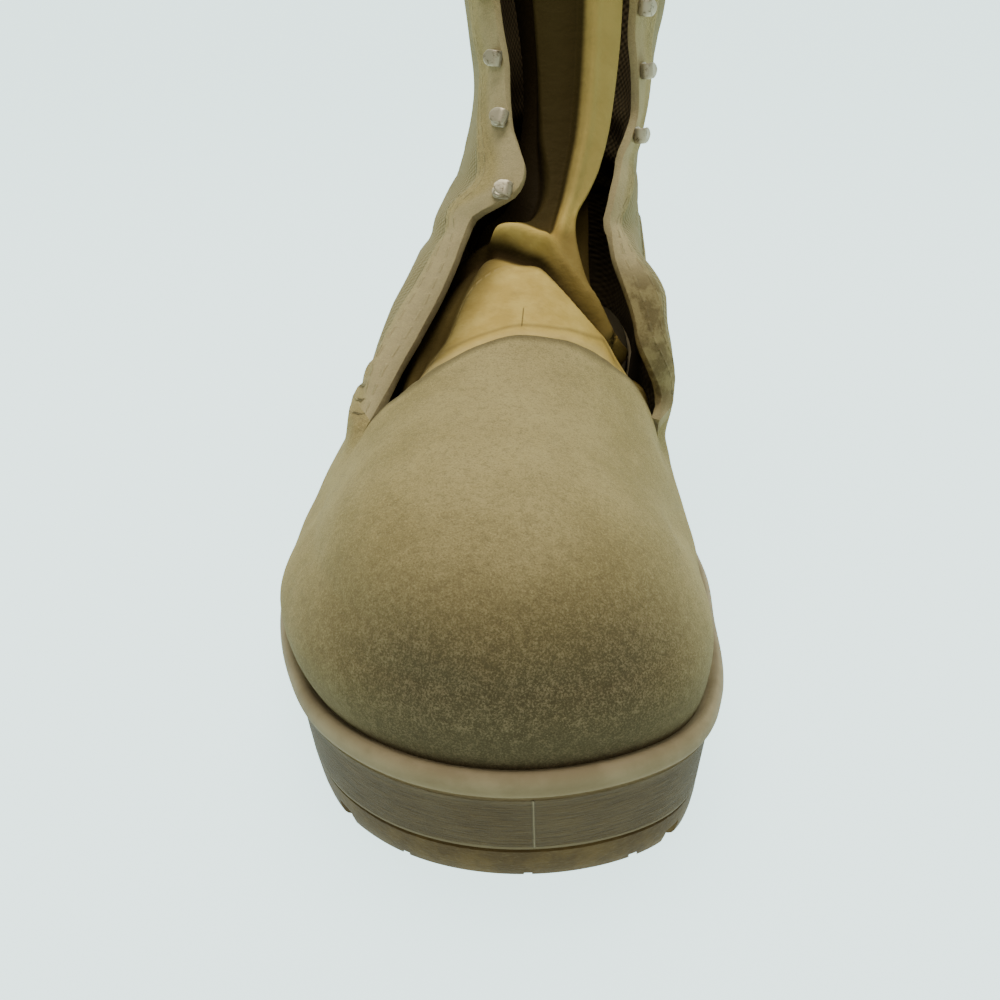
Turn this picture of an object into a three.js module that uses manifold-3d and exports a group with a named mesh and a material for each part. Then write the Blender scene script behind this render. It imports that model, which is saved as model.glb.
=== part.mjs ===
// Right combat boot, unlaced, standing on its sole. Millimetres, +Z up, toe towards -Y,
// medial side towards +X, floor at Z = 0.
//
// A maker would put together: outsole (tread and heel block), midsole (moulded side wall with its
// rolled bead), insole, upper (vamp, quarters and shaft in one hollow wall), tongue and lace hooks.
// Every curved piece follows the last, whose rings are worked out from the tables below.
import * as THREE from "three";
import { mergeVertices } from "three/addons/utils/BufferGeometryUtils.js";
import Module from "manifold-3d";

const wasm = await Module();
wasm.setup();

// ---------------------------------------------------------------- driving dimensions
const LAST_TOE = -144; // Y of the feather line's toe tip
const LAST_HEEL = 143; // Y of the feather line's back
const TOE_RADIUS = 46;
const HEEL_RADIUS = 33;
const COLLAR_HEIGHT = 210; // shaft above the feather line
const COLLAR_SLOPE = 0.04; // how much lower the collar is at the back, per millimetre
const WALL = 2.4; // leather and lining of the upper
const GAP = 0.3; // clearance between pieces that meet
const BULGE = 4.2; // how far the upper swells out above the feather line
const BULGE_TOP = 27; // height of that swelling
const LEVEL_REF = 35; // height that the feather line's rise and fall settles to up the shaft
const TONGUE_THICK = 3.2;
const TONGUE_UNDER = 14; // how far back the tongue's edges run inside the flaps
const TONGUE_GAP = 0.7; // clearance between tongue and upper
const INSOLE_THICK = 4;
const LUG_DEPTH = 4.5;
const GROOVE = 5; // width of the grooves between lugs

const RING = 44; // points round each ring of the last
const RING_COUNT = 28;
const SOLE_RING = 64; // points round each ring of the sole

// ---------------------------------------------------------------- tables
// Feather line in plan: share of the length from the toe, half width, centre line's X.
const PLAN = [
  { share: 0.05, half: 34.3, centre: 5.4 },
  { share: 0.12, half: 45.3, centre: 2.7 },
  { share: 0.22, half: 51.0, centre: -2.4 },
  { share: 0.3, half: 53.0, centre: -5 },
  { share: 0.4, half: 47.5, centre: -5.2 },
  { share: 0.52, half: 39.5, centre: -4.4 },
  { share: 0.65, half: 34.5, centre: -2.6 },
  { share: 0.8, half: 34.0, centre: -0.5 },
  { share: 0.92, half: 28.5, centre: 0 },
];

// Sole heights along the boot: underside of the tread, split between tread and midsole, feather line.
const SOLE = [
  { y: -152, ground: 7.2, split: 15.7, feather: 37.4 },
  { y: -136, ground: 3.8, split: 12.8, feather: 36 },
  { y: -118, ground: 1.3, split: 10.6, feather: 34.3 },
  { y: -96, ground: 0, split: 9.4, feather: 32.6 },
  { y: -50, ground: 0, split: 9.6, feather: 32 },
  { y: 0, ground: 0, split: 15, feather: 35.5 },
  { y: 50, ground: 0, split: 22, feather: 41 },
  { y: 100, ground: 0, split: 24, feather: 44.5 },
  { y: 138, ground: 0, split: 24.5, feather: 45.5 },
  { y: 152, ground: 1.5, split: 25, feather: 46 },
];

// Section of the forefoot along the boot: power of its dome, where 2 is an ellipse and more is squarer.
const DOME = [
  { y: -144, square: 2.5 },
  { y: -110, square: 2.35 },
  { y: -80, square: 1.62 },
  { y: -45, square: 1.55 },
  { y: -15, square: 2.1 },
  { y: 30, square: 2.25 },
];

// Front of the last seen from the side, from the toe tip up the vamp, instep and shaft.
const RIDGE = [
  { y: -144, z: 34 },
  { y: -145.6, z: 45 },
  { y: -144.4, z: 54 },
  { y: -140, z: 63 },
  { y: -132, z: 71.5 },
  { y: -121, z: 78 },
  { y: -107, z: 83 },
  { y: -90, z: 86.5 },
  { y: -70, z: 90 },
  { y: -50, z: 95.5 },
  { y: -28, z: 105 },
  { y: -9, z: 120 },
  { y: 4, z: 138 },
  { y: 12, z: 160 },
  { y: 18, z: 190 },
  { y: 22, z: 220 },
  { y: 25, z: 265 },
];

// Shaft by height: its back, half width behind the instep, centre line's X, length of its rounded ends.
const SHAFT = [
  { z: 30, back: 143, half: 34, centre: 0, round: 44 },
  { z: 46, back: 145, half: 35, centre: 0, round: 45 },
  { z: 60, back: 147.5, half: 36.5, centre: 0, round: 46 },
  { z: 80, back: 146, half: 37, centre: -2.5, round: 47 },
  { z: 98, back: 142, half: 33.5, centre: -1, round: 46 },
  { z: 115, back: 138, half: 29, centre: 2, round: 48 },
  { z: 135, back: 136, half: 27, centre: 6, round: 49 },
  { z: 155, back: 136, half: 29.5, centre: 7, round: 50 },
  { z: 190, back: 138, half: 35, centre: 6, round: 52 },
  { z: 225, back: 141, half: 39.5, centre: 4.5, round: 54 },
  { z: 265, back: 143, half: 41.5, centre: 4, round: 55 },
];

// Throat seen from the front: X of the two flaps' free edges by height.
const THROAT = [
  { z: 79.2, left: -32, right: 34.6 },
  { z: 86.5, left: -26.7, right: 32 },
  { z: 90.5, left: -24.6, right: 30.6 },
  { z: 97, left: -21, right: 27.5 },
  { z: 105, left: -17.8, right: 25.2 },
  { z: 110.8, left: -15.9, right: 24.2 },
  { z: 114.5, left: -13.6, right: 24 },
  { z: 117.5, left: -8.4, right: 24 },
  { z: 121.5, left: -2, right: 25 },
  { z: 126, left: 0, right: 25.8 },
  { z: 132, left: -2.5, right: 26 },
  { z: 137, left: -5, right: 26 },
  { z: 155, left: -8, right: 26 },
  { z: 190, left: -13, right: 26 },
  { z: 265, left: -19, right: 27 },
];

// Top edge of the vamp seen from the front, where the tongue is sewn under it.
const VAMP_EDGE = [
  { x: -34, z: 76 },
  { x: -27, z: 82.2 },
  { x: -17, z: 89.1 },
  { x: -5, z: 94 },
  { x: 3, z: 94.9 },
  { x: 15, z: 92.1 },
  { x: 24.6, z: 85.9 },
  { x: 31, z: 79 },
  { x: 36, z: 71 },
];

// How far the slack flaps are pushed out sideways, by height, for the lateral and the medial one.
const FLARE = [
  { z: 56, left: 0, right: 0 },
  { z: 64, left: 0, right: 2.5 },
  { z: 70, left: 0.6, right: 5 },
  { z: 77, left: 2.6, right: 7.5 },
  { z: 84, left: 5, right: 9 },
  { z: 92, left: 4.5, right: 9.5 },
  { z: 102, left: 3, right: 5 },
  { z: 113, left: 1.5, right: 0.5 },
  { z: 140, left: 1, right: 0.5 },
  { z: 190, left: 2, right: 2 },
  { z: 265, left: 1, right: 1 },
];
const FLARE_LIFT = 0.45; // how far they stand up for each millimetre out
const FLARE_EDGE = { left: [-5, 3], right: [-13, -5] }; // distance behind the edge over which it sets in
const FLARE_FADE = { left: [25, 60], right: [-22, 15] }; // Y over which the push dies away

// The tongue from its seam up: how deep its folds dip below (or stand above) a plain sheet.
const TONGUE_FOLD = [
  { z: 88, dip: 0 },
  { z: 101, dip: 0 },
  { z: 107, dip: 4 },
  { z: 113, dip: -0.5 },
  { z: 121, dip: 1 },
  { z: 140, dip: 0 },
  { z: 265, dip: 0 },
];

// ---------------------------------------------------------------- curves through tables
const clamp = (t) => Math.min(1, Math.max(0, t));
const mix = (a, b, t) => a + (b - a) * t;
function ease(from, to, x) {
  const t = clamp((x - from) / (to - from));
  return t * t * (3 - 2 * t);
}

// Value of column `of` at `x` of column `by`, on a smooth curve through the rows.
function along(rows, by, of, x) {
  const last = rows.length - 1;
  const next = rows.findIndex((r) => r[by] > x);
  const k = next < 0 ? last - 1 : Math.max(0, next - 1);
  const slope = (i) => {
    const a = rows[Math.max(0, i - 1)];
    const b = rows[Math.min(last, i + 1)];
    return (b[of] - a[of]) / (b[by] - a[by]);
  };
  const [p, q] = [rows[k], rows[k + 1]];
  const h = q[by] - p[by];
  const t = clamp((x - p[by]) / h);
  const [t2, t3] = [t * t, t * t * t];
  return (
    p[of] * (2 * t3 - 3 * t2 + 1) +
    slope(k) * h * (t3 - 2 * t2 + t) +
    q[of] * (3 * t2 - 2 * t3) +
    slope(k + 1) * h * (t3 - t2)
  );
}

// ---------------------------------------------------------------- the last
const LAST_LENGTH = LAST_HEEL - LAST_TOE;
const feather = (y) => along(SOLE, "y", "feather", y);
const levelZ = (h, y) =>
  h + mix(feather(y), LEVEL_REF, ease(0, 70, h)) - COLLAR_SLOPE * (y - LAST_LENGTH / 4) * ease(120, 210, h);

const ridgeLine = new THREE.CatmullRomCurve3(
  RIDGE.map((r) => new THREE.Vector3(0, r.y, r.z)),
  false,
  "centripetal",
).getSpacedPoints(400);

// Point on the ridge at height h above the feather line.
function ridgeAt(h) {
  const over = (p) => p.z - levelZ(h, p.y);
  const i = Math.max(1, ridgeLine.findIndex((p) => over(p) > 0));
  const [p, q] = [ridgeLine[i - 1], ridgeLine[i]];
  return p.clone().lerp(q, clamp(-over(p) / (over(q) - over(p))));
}

// Height of the ring that reaches the ridge at station y.
const ridgeHeights = ridgeLine.map(heightOf);
function domeHeight(y) {
  const i = ridgeLine.findIndex((p) => p.y >= y && p.z > 50);
  if (i < 1) return 1e3;
  const [p, q] = [ridgeLine[i - 1], ridgeLine[i]];
  return mix(ridgeHeights[i - 1], ridgeHeights[i], clamp((y - p.y) / (q.y - p.y)));
}

// Blunt ends: a half width of sin(a) * fullness gives an end of that radius.
const PLAN_FULLNESS = [
  { share: 0, fullness: Math.sqrt((TOE_RADIUS * LAST_LENGTH) / 2), centre: 5 },
  ...PLAN.map((r) => ({
    share: r.share,
    fullness: r.half / (2 * Math.sqrt(r.share * (1 - r.share))),
    centre: r.centre,
  })),
  { share: 1, fullness: Math.sqrt((HEEL_RADIUS * LAST_LENGTH) / 2), centre: 0 },
];
const planHalf = (share) =>
  2 * Math.sqrt(Math.max(0, share * (1 - share))) * along(PLAN_FULLNESS, "share", "fullness", share);
const planCentre = (y) => along(PLAN_FULLNESS, "share", "centre", clamp((y - LAST_TOE) / LAST_LENGTH));

// The swelling above the feather line: full at the toe, little beside the ball and on the medial side.
function bulgeAt(h, y, side) {
  const share = side < 0 ? mix(1, 0.1, ease(-98, -62, y)) : 0.35;
  return BULGE * share * Math.sin(Math.PI * clamp(h / BULGE_TOP));
}

// Half width of the ring at height h and station y: a dome in front, an oval shaft behind.
function ringHalf(h, y, z, front, back, side) {
  const toe = Math.min(front, LAST_TOE);
  const share = clamp((y - toe) / (LAST_HEEL - toe));
  const dome = clamp(h / domeHeight(Math.max(y, front)));
  const square = along(DOME, "y", "square", y);
  const swelling = bulgeAt(h, y, side) * ease(0, 0.04, share);
  const fore = (planHalf(share) + swelling) * Math.sqrt(1 - Math.pow(dome, square));
  const round = along(SHAFT, "z", "round", z);
  const end = (d) => Math.sqrt(Math.max(0, 1 - Math.pow(Math.max(0, 1 - d / round), 2)));
  const oval = along(SHAFT, "z", "half", z) * end(back - y) * end(y - front);
  const rear = mix(planHalf(clamp((y - LAST_TOE) / (back - LAST_TOE))), oval, ease(0, 40, h));
  return mix(fore, rear, ease(-40, 35, y));
}

// The ring of the last at height h above the feather line, from the toe over the lateral side.
function lastRing(h, count) {
  const front = h > 0 ? ridgeAt(h).y : LAST_TOE;
  const back = h > 0 ? along(SHAFT, "z", "back", levelZ(h, LAST_HEEL)) : LAST_HEEL;
  return Array.from({ length: count }, (_, i) => {
    const a = (2 * Math.PI * i) / count;
    const y = mix(front, back, (1 - Math.cos(a)) / 2);
    const z = levelZ(h, y);
    const side = a < Math.PI ? -1 : 1;
    const half = i === 0 || 2 * i === count ? 0 : ringHalf(h, y, z, front, back, side);
    const centre = mix(planCentre(y), along(SHAFT, "z", "centre", z), ease(40, 100, z));
    return new THREE.Vector3(centre + side * half, y, z);
  });
}

// Ring heights that are evenly spaced along the ridge, up to height `top`.
function ringHeights(top, count) {
  const start = ridgeLine.findIndex((p) => p.z > feather(p.y));
  const points = ridgeLine.slice(start).filter((p) => p.z < LEVEL_REF + top);
  return Array.from({ length: count }, (_, k) => {
    const p = points[Math.round((k * (points.length - 1)) / (count - 1))];
    return k === 0 ? 0 : k === count - 1 ? top : heightOf(p);
  });
}
function heightOf(p) {
  let [lo, hi] = [0, 300];
  for (let i = 0; i < 40; i++) {
    const h = (lo + hi) / 2;
    if (levelZ(h, p.y) < p.z) lo = h;
    else hi = h;
  }
  return lo;
}

// ---------------------------------------------------------------- meshes from rings
// Closed skin over rings that all run the same way, the first lowest, with a ladder of
// triangles across each end ring.
function stack(rings) {
  const n = rings[0].length;
  const top = rings.length - 1;
  const at = (k, i) => k * n + (i % n);
  const index = [];
  for (let k = 0; k < top; k++)
    for (let i = 0; i < n; i++) {
      index.push(at(k, i), at(k + 1, i), at(k + 1, i + 1));
      index.push(at(k, i), at(k + 1, i + 1), at(k, i + 1));
    }
  for (let i = 0; i < n / 2; i++) {
    const j = n - i;
    if (i > 0) index.push(at(0, i), at(0, j - 1), at(0, j), at(top, i), at(top, j), at(top, j - 1));
    if (i < n / 2 - 1)
      index.push(at(0, i), at(0, i + 1), at(0, j - 1), at(top, i), at(top, j - 1), at(top, i + 1));
  }
  const g = new THREE.BufferGeometry();
  g.setAttribute("position", new THREE.Float32BufferAttribute(rings.flat().flatMap((p) => p.toArray()), 3));
  g.setIndex(index);
  return g;
}

// Rings moved along the skin's own normals by outOf(point) millimetres.
function offsetRings(rings, outOf) {
  const n = rings[0].length;
  const top = rings.length - 1;
  return rings.map((ring, k) =>
    ring.map((p, i) => {
      const round = ring[(i + 1) % n].clone().sub(ring[(i + n - 1) % n]);
      const up = rings[Math.min(top, k + 1)][i].clone().sub(rings[Math.max(0, k - 1)][i]);
      return p.clone().addScaledVector(up.cross(round).normalize(), outOf(p));
    }),
  );
}
const shifted = (ring, dz) => ring.map((p) => new THREE.Vector3(p.x, p.y, p.z + dz));

// The feather line grown in plan by `grow` millimetres, at heights given by zOf(y).
function growRing(grow, zOf) {
  const base = lastRing(0, SOLE_RING);
  return base.map((p, i) => {
    const t = base[(i + 1) % SOLE_RING].clone().sub(base[(i + SOLE_RING - 1) % SOLE_RING]);
    const q = p.clone().addScaledVector(new THREE.Vector3(-t.y, t.x, 0).normalize(), grow);
    q.z = zOf(p.y);
    return q;
  });
}

// ---------------------------------------------------------------- solids
function solid(geometry) {
  const g = geometry.clone();
  g.deleteAttribute("normal");
  g.deleteAttribute("uv");
  const merged = mergeVertices(g, 1e-4);
  return new wasm.Manifold(
    new wasm.Mesh({
      numProp: 3,
      vertProperties: new Float32Array(merged.attributes.position.array),
      triVerts: new Uint32Array(merged.index.array),
    }),
  );
}
function geometryOf(manifold) {
  const m = manifold.getMesh();
  const g = new THREE.BufferGeometry();
  const xyz = new Float32Array(m.numVert * 3);
  for (let i = 0; i < m.numVert; i++)
    xyz.set(m.vertProperties.subarray(i * m.numProp, i * m.numProp + 3), i * 3);
  g.setAttribute("position", new THREE.BufferAttribute(xyz, 3));
  g.setIndex(new THREE.BufferAttribute(new Uint32Array(m.triVerts), 1));
  g.computeVertexNormals();
  return g;
}

// A prism through the boot: a polygon seen from the front (X, Z), from y0 to y1.
function frontPrism(points, y0, y1) {
  const shape = new THREE.Shape(points.map((p) => new THREE.Vector2(p.x, p.z)));
  const g = new THREE.ExtrudeGeometry(shape, { depth: y1 - y0, bevelEnabled: false });
  return solid(g.rotateX(Math.PI / 2).translate(0, y1, 0));
}

// A prism across the boot: a polygon seen from the side (Y, Z), as wide as the sole and more.
function sidePrism(points) {
  const shape = new THREE.Shape(points.map((p) => new THREE.Vector2(p.y, p.z)));
  const g = new THREE.ExtrudeGeometry(shape, { depth: 160, bevelEnabled: false });
  g.applyMatrix4(new THREE.Matrix4().set(0, 0, 1, -80, 1, 0, 0, 0, 0, 1, 0, 0, 0, 0, 0, 1));
  return solid(g);
}
function box(x0, x1, y0, y1, z0, z1) {
  const g = new THREE.BoxGeometry(x1 - x0, y1 - y0, z1 - z0);
  return solid(g.translate((x0 + x1) / 2, (y0 + y1) / 2, (z0 + z1) / 2));
}

// ---------------------------------------------------------------- the pieces
const boot = new THREE.Group();
function piece(name, geometry, color, roughness, metalness = 0) {
  const mesh = new THREE.Mesh(geometry, new THREE.MeshStandardMaterial({ color, roughness, metalness }));
  mesh.name = name;
  boot.add(mesh);
  return mesh;
}

const ground = (y) => Math.max(0, along(SOLE, "y", "ground", y));
const split = (y) => along(SOLE, "y", "split", y);

// Outsole: tread and heel block, with an open waist, transverse grooves and short toe notches.
const LUG_GROOVES = [-127, -110, -93, -76, -59, -42, 70, 88, 106, 124];
const CENTRE_GROOVES = [
  { x: -1.5, from: -120, to: -34 },
  { x: -0.5, from: 62, to: 132 },
];
const TOE_NOTCHES = [-16, 11.5, 34];
const WAIST = [
  { y: -28, z: -1 },
  { y: -22, z: 4.5 },
  { y: -5, z: 10 },
  { y: 20, z: 13.5 },
  { y: 50, z: 14.5 },
  { y: 53, z: -1 },
];
const tread = solid(
  stack([
    growRing(-0.6, ground),
    growRing(0.4, (y) => ground(y) + 1.2),
    growRing(0.8, (y) => ground(y) + 5),
    growRing(1.2, (y) => split(y)),
  ]),
);
const cutters = [
  sidePrism(WAIST),
  ...LUG_GROOVES.map((y) => box(-80, 80, y - GROOVE / 2, y + GROOVE / 2, -5, ground(y) + LUG_DEPTH)),
  ...CENTRE_GROOVES.map((g) => box(g.x - GROOVE / 2, g.x + GROOVE / 2, g.from, g.to, -5, LUG_DEPTH)),
  ...TOE_NOTCHES.map((x) => box(x - 1.5, x + 1.5, -160, -127, -5, 8)),
];
piece("outsole", geometryOf(cutters.reduce((s, c) => s.subtract(c), tread)), 0x5f5236, 0.75);

// Midsole: moulded side wall that flares up to a rolled bead, with a shelf for the upper inside it.
const midsole = stack([
  growRing(1.2, (y) => split(y) + GAP),
  growRing(2.9, (y) => feather(y) - 8.5),
  growRing(4.4, (y) => feather(y) - 7),
  growRing(5.3, (y) => feather(y) - 4.4),
  growRing(5, (y) => feather(y) - 1.6),
  growRing(3.4, (y) => feather(y) + 0.5),
  growRing(1.3, (y) => feather(y) + 0.7),
  growRing(GAP, (y) => feather(y) - GAP),
]);
piece("midsole", midsole, 0x75674a, 0.7);

// Insole: a plain board on the shelf, inside the upper's wall.
const insole = stack([
  growRing(-WALL - 3 * GAP, (y) => feather(y)),
  growRing(-WALL - 5 * GAP, (y) => feather(y) + INSOLE_THICK),
]);
piece("insole", insole, 0x6f6650, 0.95);

// Upper: one wall on the last, open underneath, at the collar and at the throat, with slack flaps
// that fade out over 22 mm behind their folded edge and towards the sides.
function flared(p) {
  const middle = (along(THROAT, "z", "left", p.z) + along(THROAT, "z", "right", p.z)) / 2;
  const side = p.x < middle ? "left" : "right";
  const away = side === "left" ? -1 : 1;
  const beyond = away * (p.x - along(THROAT, "z", side, p.z));
  const profile = beyond < 8 ? ease(...FLARE_EDGE[side], beyond) : 1 - ease(8, 30, beyond);
  const out = along(FLARE, "z", side, p.z) * profile * (1 - ease(...FLARE_FADE[side], p.y));
  return new THREE.Vector3(p.x + away * out, p.y, p.z + FLARE_LIFT * out);
}
const outerRings = ringHeights(COLLAR_HEIGHT, RING_COUNT).map((h) => lastRing(h, RING).map(flared));
const innerRings = offsetRings(outerRings, () => -WALL);
innerRings.unshift(shifted(innerRings[0], -5));
innerRings.push(shifted(innerRings[innerRings.length - 1], 5));
const ABOVE = 280; // a height above everything
const VAMP_EDGE_STEPS = 16;
const vampEdge = Array.from({ length: VAMP_EDGE_STEPS + 1 }, (_, i) => {
  const x = mix(VAMP_EDGE[0].x, VAMP_EDGE[VAMP_EDGE.length - 1].x, i / VAMP_EDGE_STEPS);
  return { x, z: along(VAMP_EDGE, "x", "z", x) };
});
// Front part of the boot seen from the side, where the throat and the tongue lie.
const FRONT_PART = [
  { y: -120, z: 60 },
  { y: -44, z: 60 },
  { y: -38, z: 82 },
  { y: 6, z: 104 },
  { y: 50, z: 150 },
  { y: 60, z: ABOVE },
  { y: -120, z: ABOVE },
];
const throat = frontPrism(
  [
    ...vampEdge,
    ...THROAT.map((r) => ({ x: r.right, z: r.z })),
    { x: 27, z: ABOVE },
    { x: -19, z: ABOVE },
    ...THROAT.toReversed().map((r) => ({ x: r.left, z: r.z })),
  ],
  -110,
  60,
).intersect(sidePrism(FRONT_PART));
const upper = solid(stack(outerRings)).subtract(solid(stack(innerRings))).subtract(throat);
piece("upper", geometryOf(upper), 0x93855c, 0.9);

// Tongue: a sheet inside the last's wall, sewn under the vamp's edge and folded at the ankle.
const tongueFold = (p) => along(TONGUE_FOLD, "z", "dip", p.z);
const tongueRings = ringHeights(COLLAR_HEIGHT + 8, RING_COUNT).map((h) => lastRing(h, RING));
const tongueOuter = offsetRings(tongueRings, (p) => -WALL - TONGUE_GAP - tongueFold(p));
const tongueInner = offsetRings(tongueRings, (p) => -WALL - TONGUE_GAP - TONGUE_THICK - tongueFold(p));
tongueInner.push(shifted(tongueInner[tongueInner.length - 1], 5));
const TONGUE_OUTLINE = [
  { x: -31, z: 74 },
  { x: 3, z: 88 },
  { x: 36, z: 74 },
  { x: 37, z: 92 },
  { x: 29, z: 103 },
  { x: 21, z: 113 },
  { x: 21, z: 125 },
  { x: 26, z: 140 },
  { x: 29, z: 160 },
  { x: 31, z: ABOVE },
  { x: -25, z: ABOVE },
  { x: -21, z: 160 },
  { x: -20, z: 125 },
  { x: -30, z: 92 },
];
const tongue = solid(stack(tongueOuter))
  .subtract(solid(stack(tongueInner)))
  .intersect(frontPrism(TONGUE_OUTLINE, -110, 60))
  .intersect(sidePrism(FRONT_PART.map((p) => ({ y: p.y + TONGUE_UNDER, z: p.z }))));
piece("tongue", geometryOf(tongue), 0xb0985f, 0.85);

// Lace hooks: bent strips riveted beside each flap's free edge, their mouths facing away from it.
// The slack flaps don't hang level: the medial row sits higher than the lateral one.
const HOOK = { width: 4.4, thick: 0.9, bend: 2.4, reach: 3.4 };
const HOOK_COUNT = 7;
const HOOK_PITCH = 16;
const HOOK_FIRST = { left: 121, right: 132 }; // height of the lowest one
const HOOK_INSET = 3.8; // from the free edge
const HOOK_LIFT = 0.55; // clears the curve of the leather under a hook's flat foot
const RING_FINE = 96;

// Where the front of the last lies at a given X and height.
function frontPoint(x, z) {
  let h = z - LEVEL_REF;
  const p = new THREE.Vector3();
  for (let round = 0; round < 5; round++) {
    const ring = lastRing(h, RING_FINE);
    const lateral = ring.slice(0, RING_FINE / 2);
    const medial = [ring[0], ...ring.slice(RING_FINE / 2).reverse()];
    const half = x < ring[0].x ? lateral : medial;
    const i = half.findIndex((q) => Math.abs(q.x - ring[0].x) > Math.abs(x - ring[0].x));
    const [a, b] = [half[i - 1], half[i]];
    p.lerpVectors(a, b, (x - a.x) / (b.x - a.x));
    h += z - p.z;
  }
  return p;
}
function hookGeometry() {
  const { thick, bend, reach } = HOOK;
  const shape = new THREE.Shape();
  shape.moveTo(0, 0);
  shape.lineTo(reach + 1, 0);
  shape.lineTo(reach + 1, thick);
  shape.lineTo(0, thick);
  shape.absarc(0, bend, bend - thick, -Math.PI / 2, Math.PI / 2, true);
  shape.lineTo(reach, 2 * bend - thick);
  shape.lineTo(reach + 0.4, 2 * bend - 0.3);
  shape.lineTo(0, 2 * bend);
  shape.absarc(0, bend, bend, Math.PI / 2, (3 * Math.PI) / 2, false);
  const g = new THREE.ExtrudeGeometry(shape, { depth: HOOK.width, bevelEnabled: false, curveSegments: 6 });
  return g.translate(-reach / 2, 0, -HOOK.width / 2);
}
for (const side of ["left", "right"])
  for (let i = 0; i < HOOK_COUNT; i++) {
    const away = side === "left" ? -1 : 1;
    const z = HOOK_FIRST[side] + i * HOOK_PITCH;
    const x = along(THROAT, "z", side, z) + away * HOOK_INSET;
    const p = frontPoint(x, z);
    const u = frontPoint(x + 1, z).sub(frontPoint(x - 1, z)).multiplyScalar(away).normalize();
    const up = frontPoint(x, z + 1).sub(frontPoint(x, z - 1)).normalize();
    const n = u.clone().cross(up).multiplyScalar(away).normalize();
    const name = `hook_${side === "left" ? "lateral" : "medial"}_${i + 1}`;
    const hook = piece(name, hookGeometry(), 0x9a907a, 0.45, 0.8);
    hook.position.copy(flared(p)).addScaledVector(n, HOOK_LIFT);
    hook.quaternion.setFromRotationMatrix(new THREE.Matrix4().makeBasis(u, n, u.clone().cross(n)));
  }

// The origin is the bottom centre of the whole boot's box.
boot.updateMatrixWorld(true);
const bounds = new THREE.Box3().setFromObject(boot, true);
boot.position.set(-(bounds.min.x + bounds.max.x) / 2, -(bounds.min.y + bounds.max.y) / 2, -bounds.min.z);

export default boot;
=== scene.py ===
"""Right combat boot: rough-out suede and cloth over a last, a gold-tan tongue folded at the ankle and a
moulded sole. It stands unlaced on a pale floor. Shapes are worked out in the shoe's own millimetres, toe
towards -y and the medial side towards +x, and put into the frame in metres."""
import math

import bpy
import numpy as np
from mathutils import Matrix, Vector


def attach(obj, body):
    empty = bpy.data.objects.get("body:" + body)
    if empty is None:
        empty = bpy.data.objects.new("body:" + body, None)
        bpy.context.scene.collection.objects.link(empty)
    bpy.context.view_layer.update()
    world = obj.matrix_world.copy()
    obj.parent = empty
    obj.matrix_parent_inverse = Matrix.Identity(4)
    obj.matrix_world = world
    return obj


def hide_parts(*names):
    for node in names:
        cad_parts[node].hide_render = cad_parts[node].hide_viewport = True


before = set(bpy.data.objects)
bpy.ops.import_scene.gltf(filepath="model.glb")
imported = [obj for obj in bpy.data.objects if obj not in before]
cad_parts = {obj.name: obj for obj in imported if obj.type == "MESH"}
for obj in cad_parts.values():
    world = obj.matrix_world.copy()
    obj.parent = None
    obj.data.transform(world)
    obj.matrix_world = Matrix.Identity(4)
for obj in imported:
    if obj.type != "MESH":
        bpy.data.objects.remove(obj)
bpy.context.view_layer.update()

# ---------------------------------------------------------------- camera, floor and lights
# The boot is seen from above its toe, from about a third of a metre away. It stands on a pale sweep of
# paper that itself glows softly where it is seen, under one large soft lamp overhead and a weak one in front.
EYE = (0.03124, -0.3036, 0.1777)
YAW, PITCH, ROLL = np.radians((-6.95, -30.07, -1.5))
ahead = np.array((math.sin(YAW) * math.cos(PITCH), math.cos(YAW) * math.cos(PITCH), math.sin(PITCH)))
level_right = np.array((math.cos(YAW), -math.sin(YAW), 0))
level_up = np.cross(level_right, ahead)
right = math.cos(ROLL) * level_right + math.sin(ROLL) * level_up
up = math.cos(ROLL) * level_up - math.sin(ROLL) * level_right
camera = bpy.data.objects.new("camera", bpy.data.cameras.new("camera"))
turned = np.stack([right, up, -ahead], 1)
camera.matrix_world = Matrix([[*row, place] for row, place in zip(turned, EYE)]).to_4x4()
camera.data.sensor_width = 36
camera.data.lens = 37.66
camera.data.shift_y = 0.06
camera.data.clip_start = 0.01
bpy.context.collection.objects.link(camera)
bpy.context.scene.camera = camera


def paint(red, green, blue):
    """The linear colour of a paint chip whose three values go up to 255."""
    chip = np.array((red, green, blue)) / 255
    return (*np.where(chip < 0.04, chip / 12.92, ((chip + 0.055) / 1.055) ** 2.4).tolist(), 1.0)


def ease(low, high, x):
    """0 below low, 1 above high and 3t^2 - 2t^3 between, where t is the share of the way."""
    t = np.clip((x - low) / (high - low), 0, 1)
    return t * t * (3 - 2 * t)


def mix(a, b, t):
    """a + (b - a) t, the value that is the share t of the way from a to b."""
    return a + (b - a) * t


def sheet_faces(rows, columns, closed=False):
    """Four-cornered faces of a grid of rows by columns, whose last column meets its first if closed."""
    k, i = np.meshgrid(np.arange(rows - 1), np.arange(columns if closed else columns - 1), indexing="ij")
    j = (i + 1) % columns
    row, next_row = k * columns, (k + 1) * columns
    return np.stack([row + i, row + j, next_row + j, next_row + i], -1).reshape(-1, 4)


def new_piece(name, points, faces, materials):
    """A smooth mesh object from points in metres."""
    mesh = bpy.data.meshes.new(name)
    mesh.from_pydata(np.asarray(points).reshape(-1, 3).tolist(), [], [list(map(int, f)) for f in faces])
    mesh.shade_smooth()
    for material in materials:
        mesh.materials.append(material)
    piece = bpy.data.objects.new(name, mesh)
    bpy.context.collection.objects.link(piece)
    return piece


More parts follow.
